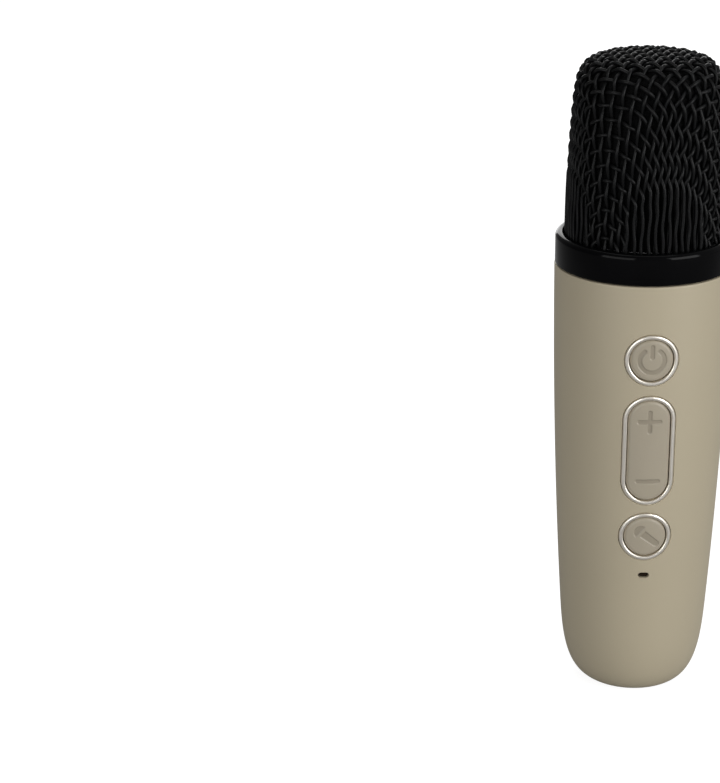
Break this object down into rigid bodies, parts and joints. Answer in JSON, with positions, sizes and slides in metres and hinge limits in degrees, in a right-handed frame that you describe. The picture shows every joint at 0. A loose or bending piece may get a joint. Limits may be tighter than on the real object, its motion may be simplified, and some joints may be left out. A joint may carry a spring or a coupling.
{
  "type": "karaoke microphone",
  "caption": "Wireless handheld karaoke microphone: tapered handle with push buttons and a volume rocker, glossy collar, and a lift-off woven wire head over a sprung-mounted capsule.",
  "frame": {"origin": "centre of the flat base that the microphone stands on", "axes": "+Z along the microphone's axis from base to grille; -Y is the front, where the buttons are; +X to the right seen from the front"},
  "size_m": [0.045, 0.0452, 0.1687],
  "materials": {
    "body_plastic": "satin, warm grey-beige, very fine moulded grain",
    "cap_plastic": "satin, a little greyer than the handle",
    "collar_plastic": "high gloss black",
    "bright_trim": "bright plated trim",
    "grille_wire": "black coated steel wire, satin",
    "smoked_window": "dark smoked light pipe",
    "windscreen_foam": "open-cell black foam",
    "inner_plastic": "plain moulded",
    "boot_rubber": "matt",
    "capsule_metal": "drawn, satin",
    "felt": "felt",
    "circuit_board": "green solder mask",
    "chip_epoxy": "moulded epoxy",
    "connector_nylon": "natural nylon",
    "led_resin": "clear resin",
    "screw_steel": "plated",
    "cell_sleeve": "plastic sleeve shrunk on a metal can",
    "pad_foam": "closed-cell foam",
    "lead_red": "insulated wire",
    "lead_black": "insulated wire"
  },
  "bodies": {
    "handle": {"body_shell": "body_plastic", "collar_ring": "collar_plastic", "power_bezel": "bright_trim", "volume_bezel": "bright_trim", "mode_bezel": "bright_trim", "indicator_window": "smoked_window", "indicator_led": "led_resin", "sled": "inner_plastic", "main_board": "circuit_board", "board_screw_upper": "screw_steel", "board_screw_lower": "screw_steel", "power_switch": "chip_epoxy", "volume_up_switch": "chip_epoxy", "volume_down_switch": "chip_epoxy", "mode_switch": "chip_epoxy", "rocker_pin": "screw_steel", "rocker_bracket": "inner_plastic", "audio_processor": "chip_epoxy", "wireless_module": "circuit_board", "module_shield": "capsule_metal", "antenna_strip": "screw_steel", "bulk_capacitor": "capsule_metal", "capsule_connector": "connector_nylon", "cell_connector": "connector_nylon", "charge_connector": "connector_nylon", "cell": "cell_sleeve", "cell_contact_lower": "screw_steel", "cell_contact_upper": "screw_steel", "cell_pad": "pad_foam", "charge_board": "circuit_board", "charge_screw_left": "screw_steel", "charge_screw_right": "screw_steel", "charge_socket": "capsule_metal", "capsule_mount": "inner_plastic", "mount_screw_left": "screw_steel", "mount_screw_right": "screw_steel", "capsule_boot": "boot_rubber", "capsule": "capsule_metal", "capsule_felt": "felt", "capsule_lead_red": "lead_red", "capsule_lead_black": "lead_black", "cell_lead_red": "lead_red", "cell_lead_black": "lead_black", "charge_lead_red": "lead_red", "charge_lead_black": "lead_black"},
    "head": {"grille": "grille_wire", "grille_ring": "capsule_metal", "windscreen": "windscreen_foam"},
    "power_button": {"power_button": "cap_plastic", "power_plunger": "connector_nylon"},
    "mode_button": {"mode_button": "cap_plastic", "mode_plunger": "connector_nylon"},
    "volume_rocker": {"volume_rocker": "cap_plastic"},
    "volume_up_plunger": {"volume_up_plunger": "connector_nylon"},
    "volume_down_plunger": {"volume_down_plunger": "connector_nylon"}
  },
  "joints": [
    {"name": "head_lift", "type": "slide", "parent": "handle", "child": "head", "axis": [0, 0, 1], "range_m": [0, 0.045]},
    {"name": "power_press", "type": "slide", "parent": "handle", "child": "power_button", "axis": [0, 1, 0], "range_m": [0, 0.0004], "stiffness_N_per_m": 1500},
    {"name": "mode_press", "type": "slide", "parent": "handle", "child": "mode_button", "axis": [0, 1, 0], "range_m": [0, 0.0004], "stiffness_N_per_m": 1500},
    {"name": "volume_rock", "type": "hinge", "parent": "handle", "child": "volume_rocker", "pos_m": [0, -0.0155, 0.0717], "axis": [-1, 0, 0], "range_deg": [-1.8, 1.8], "stiffness_Nm_per_rad": 0.1},
    {"name": "volume_up_travel", "type": "slide", "parent": "handle", "child": "volume_up_plunger", "axis": [0, 1, 0], "range_m": [-0.0003, 0.0003]},
    {"name": "volume_down_travel", "type": "slide", "parent": "handle", "child": "volume_down_plunger", "axis": [0, 1, 0], "range_m": [-0.0003, 0.0003]}
  ],
  "couplings": [
    {"joint": "volume_up_travel", "follows": "volume_rock", "m_per_rad": 0.008},
    {"joint": "volume_down_travel", "follows": "volume_rock", "m_per_rad": -0.008}
  ]
}
